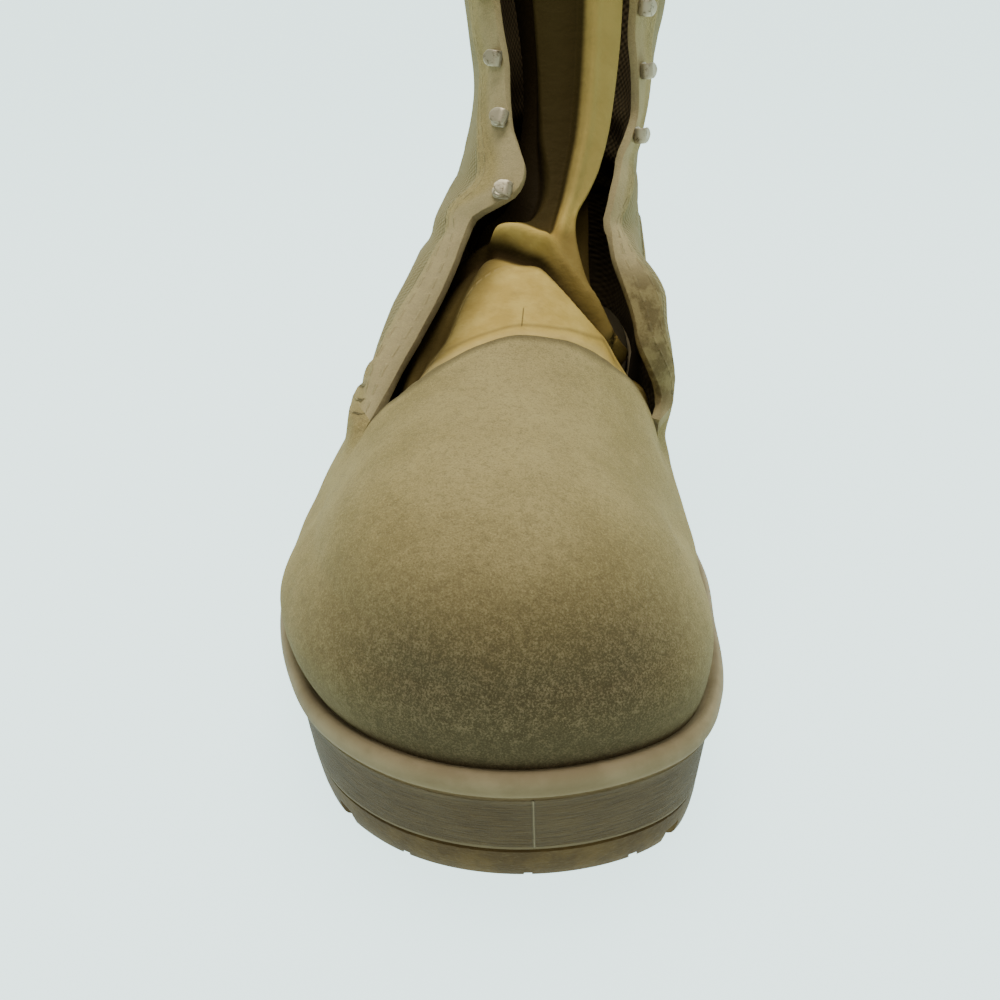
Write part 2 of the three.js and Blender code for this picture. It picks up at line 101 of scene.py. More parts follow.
class Value:
    """A number that changes over a surface. Arithmetic on it adds Math nodes."""

    def __init__(self, finish, socket):
        self.finish, self.socket = finish, socket

    def maths(self, operation, a, b=0.0):
        return self.finish.add("Math", {"operation": operation}, {0: a, 1: b})

    def __add__(self, other):
        return self.maths("ADD", self, other)

    def __sub__(self, other):
        return self.maths("SUBTRACT", self, other)

    def __rsub__(self, other):
        return self.maths("SUBTRACT", other, self)

    def __mul__(self, other):
        return self.maths("MULTIPLY", self, other)

    def __truediv__(self, other):
        return self.maths("DIVIDE", self, other)

    __radd__, __rmul__ = __add__, __mul__

    def least(self, other):
        return self.maths("MINIMUM", self, other)

    def size(self):
        return self.maths("ABSOLUTE", self)

    def sine(self):
        return self.maths("SINE", self)

    def rest(self):
        return self.maths("FRACT", self)

    def eased(self, low, high):
        """0 at low, 1 at high, smooth between."""
        ranges = {"From Min": low, "From Max": high}
        return self.finish.add("MapRange", {"interpolation_type": "SMOOTHSTEP"}, {"Value": self, **ranges})

    def line(self, centre, half):
        """1 on a line where the value is centre, fading to 0 at half either side."""
        return 1 - (self - centre).size().eased(0.0, half)


class Finish:
    """A material with one shader. What is the same all over is set on the shader's own sockets."""

    def __init__(self, name, **same):
        self.material = bpy.data.materials.new(name)
        self.material.use_nodes = True
        self.tree = self.material.node_tree
        self.shader = self.tree.nodes["Principled BSDF"]
        for socket, value in same.items():
            self.shader.inputs[socket.replace("_", " ").title().replace("Ior", "IOR")].default_value = value

    def add(self, kind, settings, inputs, out=0):
        """A node of that kind, with its settings and its sockets' values or links; gives one output."""
        node = self.tree.nodes.new("ShaderNode" + kind)
        for name, value in settings.items():
            setattr(node, name, value)
        for name, value in inputs.items():
            if isinstance(value, Value):
                self.tree.links.new(value.socket, node.inputs[name])
            else:
                node.inputs[name].default_value = value
        return Value(self, node.outputs[out])

    def place(self):
        return self.add("TexCoord", {}, {}, "Object")

    def axes(self, place):
        """The place's x, y and z in millimetres."""
        return [self.add("SeparateXYZ", {}, {0: place}, k) * 1000.0 for k in range(3)]

    def noise(self, place, size, detail=2.0, rough=0.5, stretch=(1.0, 1.0, 1.0)):
        """Soft random spots, size millimetres apart, drawn out along an axis by its stretch."""
        scale = [1 / s for s in stretch]
        spread = self.add("VectorMath", {"operation": "MULTIPLY"}, {0: place, 1: scale})
        inputs = {"Vector": spread, "Scale": 1000 / size, "Detail": detail, "Roughness": rough}
        return self.add("TexNoise", {}, inputs)

    def mark(self, name):
        """A number kept on the mesh's points under that name."""
        return self.add("Attribute", {"attribute_name": name}, {}, "Fac")

    def blend(self, share, a, b):
        """Colour a where the share is 0 and b where it is 1."""
        return self.add("Mix", {"data_type": "RGBA"}, {0: share, 6: a, 7: b}, 2)

    def feed(self, socket, value):
        self.tree.links.new(value.socket, self.shader.inputs[socket])

    def relief(self, *layers):
        """Bumps, each a height from 0 to 1 and its depth in millimetres."""
        normal = None
        for height, depth in layers:
            inputs = {"Height": height, "Distance": depth / 1000, "Strength": 1.0}
            if normal is not None:
                inputs["Normal"] = normal
            normal = self.add("Bump", {}, inputs)
        self.feed("Normal", normal)


paper = Finish("pale_paper", base_color=paint(128, 132, 131), roughness=0.95, specular_ior_level=0.0,
               emission_strength=2.45)
x, y, z = paper.axes(paper.place())
# the glow fades in front of the toe and to both sides, in a wedge that widens away from the camera
glow = (x.size() - (y + 304) * 0.6).eased(900.0, 250.0) * y.eased(-300.0, -190.0)
paper.feed("Emission Color", paper.blend(glow, paint(158, 171, 169), paint(222, 250, 248)))
# the paper lies flat, turns up behind the boot in a quarter circle and stands upright, all in metres
PAPER_HALF, CURVE, PAPER_TOP = 12.0, 1.2, 4.0
turn = np.linspace(0.1, math.pi / 2, 16)
sweep_y = np.r_[np.linspace(-PAPER_HALF, CURVE, 12), CURVE + CURVE * np.sin(turn), 2 * CURVE]
sweep_z = np.r_[np.zeros(12), CURVE - CURVE * np.cos(turn), PAPER_TOP]
rims = [np.full(len(sweep_y), x) for x in (PAPER_HALF, -PAPER_HALF)]
sweep = np.stack([np.stack([rim, sweep_y, sweep_z], 1) for rim in rims])
backdrop = new_piece("backdrop", sweep, sheet_faces(2, len(sweep_y)), [paper.material])

sky = bpy.data.worlds.new("studio")
sky.use_nodes = True
sky.node_tree.nodes["Background"].inputs["Color"].default_value = paint(238, 236, 226)
sky.node_tree.nodes["Background"].inputs["Strength"].default_value = 0.2
bpy.context.scene.world = sky
# place, place it points at, side, watts
LAMPS = {"overhead": ((-0.03, 0.0, 1.15), (0, -0.02, 0.05), 0.8, 19.0),
         "front": ((0.1, -1.3, 0.75), (0, 0, 0.08), 0.9, 3.0)}
for name, (at, towards, side, watts) in LAMPS.items():
    lamp = bpy.data.objects.new(name, bpy.data.lights.new(name, "AREA"))
    lamp.data.energy, lamp.data.size = watts, side
    back = np.array(at) - towards
    lamp.matrix_world = Matrix.Translation(at) @ Vector(back).to_track_quat("Z", "Y").to_matrix().to_4x4()
    bpy.context.collection.objects.link(lamp)

# ---------------------------------------------------------------- outsole
# The tread and heel block, one moulding of hard rubber with lugs cut by cross grooves, a groove down the
# middle and an open waist. It is cemented under the side wall and stands out from it by a hair.
LAST_TOE, LAST_HEEL = -144.0, 143.0
LENGTH = LAST_HEEL - LAST_TOE
TOE_RADIUS, HEEL_RADIUS = 46.0, 33.0
# share of the length from the toe, half width, centre line's x
PLAN = np.array([(0.05, 34.3, 5.4), (0.12, 45.3, 2.7), (0.22, 51, -2.4), (0.3, 53, -5), (0.4, 47.5, -5.2),
                 (0.52, 39.5, -4.4), (0.65, 34.5, -2.6), (0.8, 34, -0.5), (0.92, 28.5, 0)])
# y, underside of the tread, split between tread and side wall, feather line
SOLE = np.array([(-152, 7.2, 15.7, 37.4), (-136, 3.8, 12.8, 36), (-118, 1.3, 10.6, 34.3), (-96, 0, 9.4, 32.6),
                 (-50, 0, 9.6, 32), (0, 0, 15, 35.5), (50, 0, 22, 41), (100, 0, 24, 44.5),
                 (138, 0, 24.5, 45.5), (152, 1.5, 25, 46)])
TO_FRAME = np.array((4.4427, 0.5, 0.0))  # from the shoe's own lines to the frame's origin


def in_frame(points):
    """Points in the shoe's millimetres as points of the frame in metres."""
    return (np.asarray(points, float).reshape(-1, 3) + TO_FRAME) / 1000


def along(table, column, x):
    """A table's column at x of its first column: a cubic through the rows, whose slope at a row is that of
    the line between the rows beside it."""
    at, value = table[:, 0], table[:, column]
    before, after = np.r_[0, 0:len(at) - 1], np.r_[1:len(at), len(at) - 1]
    slope = (value[after] - value[before]) / (at[after] - at[before])
    k = np.clip(np.searchsorted(at, x, side="right") - 1, 0, len(at) - 2)
    gap = at[k + 1] - at[k]
    t = np.clip((x - at[k]) / gap, 0, 1)
    t2, t3 = t * t, t ** 3
    return (value[k] * (2 * t3 - 3 * t2 + 1) + slope[k] * gap * (t3 - 2 * t2 + t)
            + value[k + 1] * (3 * t2 - 2 * t3) + slope[k + 1] * gap * (t3 - t2))


def ground(y):
    """Height of the tread's underside at station y."""
    return np.maximum(0, along(SOLE, 1, y))


def split(y):
    """Height where tread and side wall meet, at station y."""
    return along(SOLE, 2, y)


def feather(y):
    """Height of the line where the upper meets the sole, at station y."""
    return along(SOLE, 3, y)


# share of the length, half width over that of a round ended oval, centre line's x
oval_half = 2 * np.sqrt(PLAN[:, 0] * (1 - PLAN[:, 0]))
FULLNESS = np.vstack([(0, math.sqrt(TOE_RADIUS * LENGTH / 2), 5),
                      np.c_[PLAN[:, 0], PLAN[:, 1] / oval_half, PLAN[:, 2]],
                      (1, math.sqrt(HEEL_RADIUS * LENGTH / 2), 0)])


def plan_half(share):
    """Half width of the feather line: 2 sqrt(share (1 - share)), a round ended oval, times its fullness."""
    return 2 * np.sqrt(np.clip(share * (1 - share), 0, None)) * along(FULLNESS, 1, share)


def plan_centre(y):
    """The sole's centre line: its x at station y."""
    return along(FULLNESS, 2, np.clip((y - LAST_TOE) / LENGTH, 0, 1))


SOLE_POINTS = 360
sole_angle = np.linspace(0, 2 * math.pi, SOLE_POINTS, endpoint=False)
sole_y = mix(LAST_TOE, LAST_HEEL, (1 - np.cos(sole_angle)) / 2)
sole_x = plan_centre(sole_y) - np.sign(np.sin(sole_angle).round(9)) * plan_half((sole_y - LAST_TOE) / LENGTH)
heading = np.stack([np.roll(sole_x, -1) - np.roll(sole_x, 1), np.roll(sole_y, -1) - np.roll(sole_y, 1)], 1)
heading /= np.linalg.norm(heading, axis=1)[:, None]


def sole_rings(profile):
    """Rings round the feather line, each grown outward by the first number of a profile's row, at the
    height that its second gives for the station y."""
    rings = [np.stack([sole_x - heading[:, 1] * grow, sole_y + heading[:, 0] * grow, height(sole_y)], 1)
             for grow, height in profile]
    return np.array(rings)


def sole_piece(name, rings, materials):
    """A closed piece from rings, the first lowest, with a ladder of faces across each end ring."""
    count, n = rings.shape[:2]
    i = np.arange(n // 2)
    ladder = np.stack([i, i + 1, (n - i - 1) % n, (n - i) % n], 1)
    # the first and last rungs meet in one point, so they are triangles
    end = [[0, 1, n - 1], [n // 2 - 1, n // 2, n // 2 + 1]]
    low = [list(f) for f in ladder[1:-1]] + end
    high = [[v + (count - 1) * n for v in reversed(f)] for f in low]
    walls = sheet_faces(count, n, closed=True)[:, ::-1]
    return new_piece(name, in_frame(rings), [*walls, *low, *high], materials)


def slab(x0, x1, outline):
    """Points and faces of a slab across the boot: an outline of (y, z) from x0 to x1."""
    n = len(outline)
    points = [(x, y, z) for x in (x0, x1) for y, z in outline]
    sides = [[i, (i + 1) % n, n + (i + 1) % n, n + i] for i in range(n)]
    return points, [list(range(n))[::-1], [n + i for i in range(n)], *sides]


def cutter(name, slabs):
    """One object of several slabs that don't touch each other."""
    points, faces = [], []
    for slab_points, slab_faces in slabs:
        faces += [[v + len(points) for v in f] for f in slab_faces]
        points += slab_points
    return new_piece(name, in_frame(points), faces, [])


def make_final(piece):
    """Gives the piece its modifiers' result as its own mesh."""
    finished = bpy.data.meshes.new_from_object(piece.evaluated_get(bpy.context.evaluated_depsgraph_get()))
    piece.modifiers.clear()
    piece.data = finished


LUG_GROOVES = (-127, -110, -93, -76, -59, -42, 70, 88, 106, 124)
GROOVE_HALF, LUG_DEPTH = 2.5, 4.5
TOE_NOTCHES, NOTCH_HALF = (-16.0, 11.5, 34.0), 0.9
CUT_FROM, SLAB_HALF = -5, 80  # cutters start below the tread and reach past both its sides
WAIST = [(-28, -1), (-22, 4.5), (-5, 10), (20, 13.5), (50, 14.5), (53, -1)]  # y, z
tread_rubber = Finish("tread_rubber", roughness=0.66, specular_ior_level=0.15)
place = tread_rubber.place()
x, y, z = tread_rubber.axes(place)
dust = tread_rubber.noise(place, 9, 4.0, 0.65)
scuff = tread_rubber.noise(place, 1.6, 3.0, 0.6, (1, 1, 0.35))
worn = tread_rubber.blend(dust.eased(0.35, 0.7), paint(68, 50, 18), paint(86, 66, 29))
worn = tread_rubber.blend(scuff.eased(0.55, 0.8) * 0.4, worn, paint(100, 84, 52))
underside = 1 - z.eased(0.0, 2.5)
tread_rubber.feed("Base Color", tread_rubber.blend(underside * 0.6, worn, paint(82, 72, 54)))
tread_rubber.relief((dust, 0.25), (scuff, 0.12), (tread_rubber.noise(place, 0.5), 0.05))

tread = [(-1.0, ground),
         (-0.3, lambda y: ground(y) + 0.25),
         (0.2, lambda y: ground(y) + 1.0),
         (0.7, lambda y: ground(y) + 3),
         (1.1, lambda y: mix(ground(y), split(y), 0.6)),
         (1.2, lambda y: split(y) - 0.5),
         (0.8, split)]
outsole = sole_piece("outsole_moulding", sole_rings(tread), [tread_rubber.material])


def cross_groove(y):
    """Slab of a groove across the tread at station y, a fifth narrower at its floor."""
    floor = float(ground(y)) + LUG_DEPTH
    return slab(-SLAB_HALF, SLAB_HALF, [(y - GROOVE_HALF, CUT_FROM), (y + GROOVE_HALF, CUT_FROM),
                                        (y + GROOVE_HALF * 0.8, floor), (y - GROOVE_HALF * 0.8, floor)])


def middle_groove(x, y0, y1):
    """Slab of the groove along the middle of the tread, centred on x, from y0 to y1."""
    outline = [(y0, CUT_FROM), (y1, CUT_FROM), (y1, LUG_DEPTH), (y0, LUG_DEPTH)]
    return slab(x - GROOVE_HALF, x + GROOVE_HALF, outline)


across = [cross_groove(y) for y in LUG_GROOVES]
middle = [middle_groove(-1.5, -120, -34), middle_groove(-0.5, 62, 132)]
notch = [(-160, CUT_FROM), (-127, CUT_FROM), (-127, float(ground(-127)) + 2.0),
         (-160, float(ground(-148)) + 2.4)]
notches = [slab(x - NOTCH_HALF, x + NOTCH_HALF, notch) for x in TOE_NOTCHES]
for slabs in ([slab(-SLAB_HALF, SLAB_HALF, WAIST)], across, middle + notches):
    tool = cutter("groove_cutter", slabs)
    cut = outsole.modifiers.new("cut", "BOOLEAN")
    cut.object, cut.operation, cut.solver = tool, "DIFFERENCE", "EXACT"
    make_final(outsole)
    bpy.data.objects.remove(tool)
outsole.data.set_sharp_from_angle(angle=math.radians(35))
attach(outsole, "root")
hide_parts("outsole")

# ---------------------------------------------------------------- side wall
# The midsole: a softer tan moulding, its wall rubbed in level streaks, with a rolled bead round the top
# edge, a fine rib under it and a mould's parting line at the toe. The upper is cemented onto its shelf.
RIB_BELOW = 6.3
bead_turn = np.radians(np.linspace(-72, 128, 15))
bead = [(3.1 + 2.1 * math.cos(t), lambda y, t=t: feather(y) - 2.5 + 3.0 * math.sin(t)) for t in bead_turn]
wall = [(1.15, lambda y: split(y) + 0.3), (1.55, lambda y: split(y) + 0.75), (1.6, lambda y: split(y) + 1.6)]
wall += [(mix(1.6, 3.15, s), lambda y, s=s: mix(split(y) + 1.6, feather(y) - RIB_BELOW - 0.7, s)) for s in
         np.linspace(0.15, 1, 7)]
rib = [(3.75, lambda y: feather(y) - RIB_BELOW - 0.25), (3.75, lambda y: feather(y) - RIB_BELOW + 0.25),
       (3.2, lambda y: feather(y) - RIB_BELOW + 0.6)]
shelf = [(0.35, lambda y: feather(y) - 0.35)]

sidewall_rubber = Finish("sidewall_rubber", roughness=0.72, specular_ior_level=0.15)
place = sidewall_rubber.place()
x, y, z = sidewall_rubber.axes(place)
below = sidewall_rubber.mark("below_feather")
above = sidewall_rubber.mark("above_split")
band = below.eased(6.2, 6.8) * (1 - above.eased(1.2, 0.6))
streak = sidewall_rubber.noise(place, 1.3, 4.0, 0.75, (7, 7, 0.42))
grime = sidewall_rubber.noise(place, 13, 4.0, 0.6)
colour = sidewall_rubber.blend(grime.eased(0.35, 0.65), paint(128, 113, 82), paint(143, 128, 95))
streaked = sidewall_rubber.blend(streak.eased(0.35, 0.68), paint(52, 36, 14), paint(72, 54, 25))
colour = sidewall_rubber.blend(band * 0.85, colour, streaked)
# painted shade: darker from the bead's underside downward, outside the streaked band
colour = sidewall_rubber.blend(below.eased(1.2, 4.4) * (1 - band) * 0.6, colour, paint(92, 74, 40))
colour = sidewall_rubber.blend(below.line(RIB_BELOW, 0.4) * 0.4, colour, paint(150, 134, 96))
# painted shade: the shelf above the feather line, inside the upper, darker
colour = sidewall_rubber.blend(below.eased(-0.1, -0.9) * 0.8, colour, paint(60, 52, 34))
# painted shade: the ledge at the foot of the wall, just above the tread, darker
colour = sidewall_rubber.blend(above.eased(1.4, 0.6) * 0.7, colour, paint(74, 59, 32))
parting = x.line(17.5, 0.45) * y.eased(-100.0, -110.0) * band
colour = sidewall_rubber.blend(parting * 0.55, colour, paint(150, 136, 104))
sidewall_rubber.feed("Base Color", colour)
sidewall_rubber.relief((streak * band, 0.45), (parting, 0.4), (grime, 0.35),
                       (sidewall_rubber.noise(place, 0.6), 0.05))

rings = sole_rings(wall + rib + bead + shelf)
midsole = sole_piece("sidewall_moulding", rings, [sidewall_rubber.material])
for name, value in (("below_feather", feather(rings[..., 1]) - rings[..., 2]),
                    ("above_split", rings[..., 2] - split(rings[..., 1]))):
    midsole.data.attributes.new(name, "FLOAT", "POINT").data.foreach_set("value", value.ravel())
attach(midsole, "root")
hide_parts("midsole")

# ---------------------------------------------------------------- insole
# A loose felted footbed that lies on the shelf inside the upper, its top edge rounded over. It follows the
# sole's own rise from the ball to the heel.
insole_felt = Finish("insole_felt", roughness=0.95, specular_ior_level=0.1)
place = insole_felt.place()
felt = insole_felt.noise(place, 0.7, 3.0, 0.7)
wear = insole_felt.noise(place, 22, 2.0)
# painted shade: the felt's colours are kept dark, as the footbed lies in shade inside the upper
worn = insole_felt.blend(felt * 0.5 + wear * 0.5, paint(54, 46, 30), paint(82, 73, 51))
insole_felt.feed("Base Color", worn)
insole_felt.relief((felt, 0.25))
INSOLE_IN = 3.0
felt_edge = [(-INSOLE_IN, feather),
             (-INSOLE_IN, lambda y: feather(y) + 3),
             (-INSOLE_IN - 0.5, lambda y: feather(y) + 3.8),
             (-INSOLE_IN - 1.4, lambda y: feather(y) + 4)]
insole = sole_piece("footbed", sole_rings(felt_edge), [insole_felt.material])
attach(insole, "root")
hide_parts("insole")

# ---------------------------------------------------------------- upper
# Vamp, quarters, facings and backstay of rough-out suede with cloth panels between, sewn into one wall on
# the last, lined with cloth. The slack flaps beside the throat stand off and curl at their free edge.
COLLAR = 210.0  # shaft above the feather line
WALL = 2.4
# front of the last from the toe up: y, z
RIDGE = np.array([(-144, 34), (-145.6, 45), (-144.4, 54), (-140, 63), (-132, 71.5), (-121, 78), (-107, 83),
                  (-90, 86.5), (-70, 90), (-50, 95.5), (-28, 105), (-9, 120), (4, 138), (12, 160), (18, 190),
                  (22, 220), (25, 265.0)])
# y, power of the forefoot's section
DOME = np.array([(-144, 2.5), (-110, 2.35), (-80, 1.62), (-45, 1.55), (-15, 2.1), (30, 2.25)])
# z, back, half width, centre line's x, length of the rounded ends
SHAFT = np.array([(30, 143, 34, 0, 44), (46, 145, 35, 0, 45), (60, 147.5, 36.5, 0, 46),
                  (80, 146, 37, -2.5, 47), (98, 142, 33.5, -1, 46), (115, 138, 29, 2, 48),
                  (135, 136, 27, 6, 49), (155, 136, 29.5, 7, 50), (190, 138, 35, 6, 52),
                  (225, 141, 39.5, 4.5, 54), (265, 143, 41.5, 4, 55.0)])
BULGE, BULGE_TOP = 4.2, 27.0
LEVEL_REF, COLLAR_SLOPE = 35.0, 0.04


def level(h, y):
    """Height above the floor of the ring that lies h above the feather line, at station y."""
    slope = COLLAR_SLOPE * (y - LENGTH / 4) * ease(120, 210, h)
    return h + mix(feather(y), LEVEL_REF, ease(0, 70, h)) - slope


# the ridge as a fine line, and how high above the feather line each of its points lies, by halving
chord = np.r_[0, np.cumsum(np.sqrt(np.linalg.norm(np.diff(RIDGE, axis=0), axis=1)))]
ridge = np.stack([along(np.c_[chord, RIDGE], k, np.linspace(0, chord[-1], 2000)) for k in (1, 2)], 1)
low, high = np.zeros(len(ridge)), np.full(len(ridge), 300.0)
for _ in range(40):
    half_way = (low + high) / 2
    under = level(half_way, ridge[:, 0]) < ridge[:, 1]
    low, high = np.where(under, half_way, low), np.where(under, high, half_way)
ridge_height = np.maximum.accumulate(low)
on_top = ridge[:, 1] > 50


def last(a, h):
    """Point of the last at angle a, 0 at the toe, positive over the lateral side and pi at the back, and
    height h above the feather line: half width = plan * sqrt(1 - (h / ridge height) ^ power) in front and
    an oval with rounded ends behind, eased into each other over the instep."""
    a, h = np.broadcast_arrays(np.asarray(a, float), np.asarray(h, float))
    front = np.where(h > 0, np.interp(h, ridge_height, ridge[:, 0]), LAST_TOE)
    back = np.where(h > 0, along(SHAFT, 1, level(h, LAST_HEEL)), LAST_HEEL)
    y = mix(front, back, (1 - np.cos(a)) / 2)
    z = level(h, y)
    toe = np.minimum(front, LAST_TOE)
    share = np.clip((y - toe) / (LAST_HEEL - toe), 0, 1)
    crown = np.interp(np.maximum(y, front), ridge[on_top, 0], ridge_height[on_top])
    bulge = BULGE * np.sin(np.pi * np.clip(h / BULGE_TOP, 0, 1)) * ease(0, 0.04, share)
    bulge = bulge * np.where(np.sin(a) > 0, mix(1.0, 0.1, ease(-98, -62, y)), 0.35)
    fore = (plan_half(share) + bulge) * np.sqrt(1 - np.clip(h / crown, 0, 1) ** along(DOME, 1, y))
    soft = along(SHAFT, 4, z)
    ends = [np.sqrt(np.clip(1 - np.clip(1 - d / soft, 0, None) ** 2, 0, None)) for d in (back - y, y - front)]
    oval = along(SHAFT, 2, z) * ends[0] * ends[1]
    rear = mix(plan_half(np.clip((y - LAST_TOE) / (back - LAST_TOE), 0, 1)), oval, ease(0, 40, h))
    half = mix(fore, rear, ease(-40, 35, y))
    centre = mix(plan_centre(y), along(SHAFT, 3, z), ease(40, 100, z))
    return np.stack([centre - np.sign(np.sin(a).round(9)) * half, y, z], axis=-1)


# the vamp's top edge: angle in degrees, negative over the medial side, and height above the feather line
VAMP_TOP = np.array([(-71.5, 30), (-70, 37), (-67, 43.5), (-62, 47.7), (-54, 51.4), (-42, 54.6), (-26, 58),
                     (-6, 60), (10, 58.6), (26, 55.4), (42, 51.4), (50, 47.5), (53, 44.5), (54.5, 41.5)])
# seen from the front, where the flaps' free edges leave the last: z, x of the lateral, x of the medial one
THROAT = np.array([(58, -46, 43.2), (62, -43.5, 41.2), (66, -41, 38.9), (72, -36.6, 35), (75.5, -33.8, 33),
                   (79, -30.6, 30.9), (85.5, -27, 27), (90, -25, 25.5), (97, -21, 23.5), (104, -18, 22.5),
                   (110, -16, 23), (114.5, -13.8, 23.5), (117.5, -8.5, 23.8), (121, -2.2, 24.6),
                   (126, 0, 26.5), (132, -2.5, 28), (137, -5, 29.5), (155, -8, 29), (190, -13, 27),
                   (265, -19, 27)])
# z, how far the flaps are pushed out sideways: lateral, medial
FLARE = np.array([(54, 0, 0), (62, 0, 1.8), (70, 0.6, 5.2), (77, 2.6, 8), (84, 5.5, 9.5), (92, 5, 10),
                  (98, 3.8, 8), (104, 2.6, 4.5), (113, 1.5, 0.8), (140, 1, 0.5), (190, 2, 2), (265, 1, 1)])
# the throat's front corners, 1 the lateral and -1 the medial one: angle, height above the feather line
TIPS = {1: (math.radians(54.5), 41.5), -1: (math.radians(71.5), 30.0)}


def crossing(value, at):
    """For each column of value, where it first goes from below zero to above, read off the rows' at."""
    above = value > 0
    row = np.clip(np.argmax(above, axis=0), 1, len(at) - 1)
    column = np.arange(value.shape[1])
    before, after = value[row - 1, column], value[row, column]
    return at[row - 1] + (at[row] - at[row - 1]) * np.clip(-before / (after - before + 1e-12), 0, 1)


def edge_angle(h, side):
    """Angle at which the flap's free edge crosses the ring at height h, from its x seen from the front. It
    stays at the angle of the throat's front corner for 4 mm and eases away from it over the next 10."""
    fine = np.radians(np.linspace(0.2, 95, 400))
    place = last(side * fine[:, None], h)
    beyond = side * (along(THROAT, 1 if side > 0 else 2, place[..., 2]) - place[..., 0])
    tip_angle, tip_height = TIPS[side]
    return mix(tip_angle, crossing(beyond, fine), ease(tip_height + 4, tip_height + 14, h))


def vamp_height(a):
    """Height of the vamp's top edge at angle a."""
    return along(VAMP_TOP, 1, np.degrees(a))


def skin_normals(grid):
    """Outward unit normals of a grid of points whose rows go up and whose columns go towards the lateral
    side and round the back: the cross product of its two slopes."""
    up_way = np.gradient(grid, axis=0)
    round_way = np.gradient(grid, axis=1)
    out = np.cross(up_way, round_way)
    return out / np.maximum(np.linalg.norm(out, axis=-1, keepdims=True), 1e-9)


def soft_band(value, centre, width):
    """1 at the centre, falling off as a bell of that width."""
    return np.exp(-((value - centre) / width) ** 2)


def slack(grid, from_edge, side, risen):
    """The grid with the flap on that side pushed out and up: little at its curled free edge, most 6 mm
    behind it, and nothing from 34 mm on. Below the throat's front corner, where risen is 0, it starts from
    nothing beside the vamp."""
    curl = mix(0.1, 1, ease(0, 6, from_edge)) if side > 0 else mix(0.55, 1, ease(0, 5, from_edge))
    curl = mix(ease(0, 9, from_edge), curl, risen)
    reach = (25, 60) if side > 0 else (-18, 22)
    fade = (1 - ease(10, 34, from_edge)) * (1 - ease(*reach, grid[..., 1]))
    push = along(FLARE, 1 if side > 0 else 2, grid[..., 2]) * curl * fade
    return grid + push[..., None] * np.array((-side, 0, 0.45))


VAMP_COLUMNS, SIDE_COLUMNS, LOW_ROWS, HIGH_ROWS = 120, 190, 50, 112
around = 2 * math.pi
vamp_angles = np.linspace(-TIPS[-1][0], TIPS[1][0], VAMP_COLUMNS)
side_angles = np.linspace(TIPS[1][0], around - TIPS[-1][0], SIDE_COLUMNS)[1:-1]
low_angles = np.r_[vamp_angles, side_angles]
low_top = np.r_[vamp_height(vamp_angles), np.linspace(TIPS[1][1], TIPS[-1][1], SIDE_COLUMNS)[1:-1]]
low_h = low_top * np.linspace(0, 1, LOW_ROWS)[:, None]
low_h[0] = 1e-3  # a hair above the feather line, where the ridge begins
low_grid = last(low_angles, low_h)

share = np.linspace(0, 1, HIGH_ROWS)[:, None]
across_share = np.linspace(0, 1, SIDE_COLUMNS)
first = np.linspace(TIPS[1][1], TIPS[-1][1], SIDE_COLUMNS)
high_h = mix(first, COLLAR, share)
edges = [edge_angle(mix(TIPS[side][1], COLLAR, share[:, 0]), side) for side in (1, -1)]
high_angles = mix(edges[0][:, None], around - edges[1][:, None], across_share)
high_grid = last(high_angles, high_h)


def run(grid):
    """Distance along each row from its first column."""
    step = np.linalg.norm(np.diff(grid, axis=1), axis=-1)
    return np.concatenate([np.zeros((len(grid), 1)), np.cumsum(step, axis=1)], axis=1)


high_run = run(high_grid)
risen = ease(first, first + 8, high_h)
high_grid = slack(high_grid, high_run, 1, risen)
high_grid = slack(high_grid, high_run[:, -1:] - high_run, -1, risen)
low_side = np.concatenate([low_grid[:, VAMP_COLUMNS - 1:], low_grid[:, :1]], axis=1)
low_run = run(low_side)
low_side = slack(low_side, low_run, 1, 0)
low_side = slack(low_side, low_run[:, -1:] - low_run, -1, 0)
low_grid[:, VAMP_COLUMNS:] = low_side[:, 1:-1]

# seen from the side, the top edge of the suede quarter and counter: y, z
QUARTER_TOP = np.array([(-80, 84), (-33, 78), (-10, 75), (20, 72), (60, 78), (100, 92), (150, 99)])
BACKSTAY, COLLAR_BAND = 12.0, 20.0
OVERLAY = 0.9  # suede over the cloth
FAR = 99.0  # stands for a distance from something that isn't near
# z, width of the facings behind their free edge
FACING = np.array([(70, 10), (90, 7.5), (100, 7.5), (112, 9), (120, 16), (135, 16), (265, 14)])
# folds where the ankle gives: side (0 for both), y and z of their two ends, half width, depth
FOLDS = [(1, -6, 109, 34, 101, 3.4, 1.5), (1, 4, 123, 40, 121, 3.8, 1.2),
         (1, 52, 111, 98, 120, 4.2, 1.3), (-1, -2, 112, 30, 106, 3.2, 1.4),
         (-1, 10, 127, 52, 119, 4.0, 1.3), (-1, 60, 108, 104, 117, 4.0, 1.4),
         (0, 118, 110, 140, 113, 3.8, 1.6), (0, 112, 124, 140, 128, 4.4, 1.1),
         (1, 10, 152, 44, 146, 6.0, 0.9), (-1, 24, 158, 70, 150, 6.5, 0.9),
         (1, 60, 176, 112, 168, 8.0, 0.8), (1, -40, 70, -4, 62, 5.0, 0.8),
         (-1, -48, 64, -10, 58, 5.0, 0.9), (1, -78, 58, -52, 50, 5.5, 0.7),
         (-1, -86, 60, -58, 52, 5.0, 0.7)]


def fold_depth(grid, side_sign):
    """Depth in millimetres of the folds at each point: a bell across the line between a fold's ends."""
    depth = np.zeros(grid.shape[:-1])
    for side, y0, z0, y1, z1, width, deep in FOLDS:
        along_line = np.array((y1 - y0, z1 - z0))
        from_start = grid[..., 1:] - (y0, z0)
        t = np.clip(from_start @ along_line / (along_line @ along_line), 0, 1)
        away = np.linalg.norm(from_start - t[..., None] * along_line, axis=-1)
        depth += deep * soft_band(away, 0, width) * (side_sign == side if side else 1)
    return depth


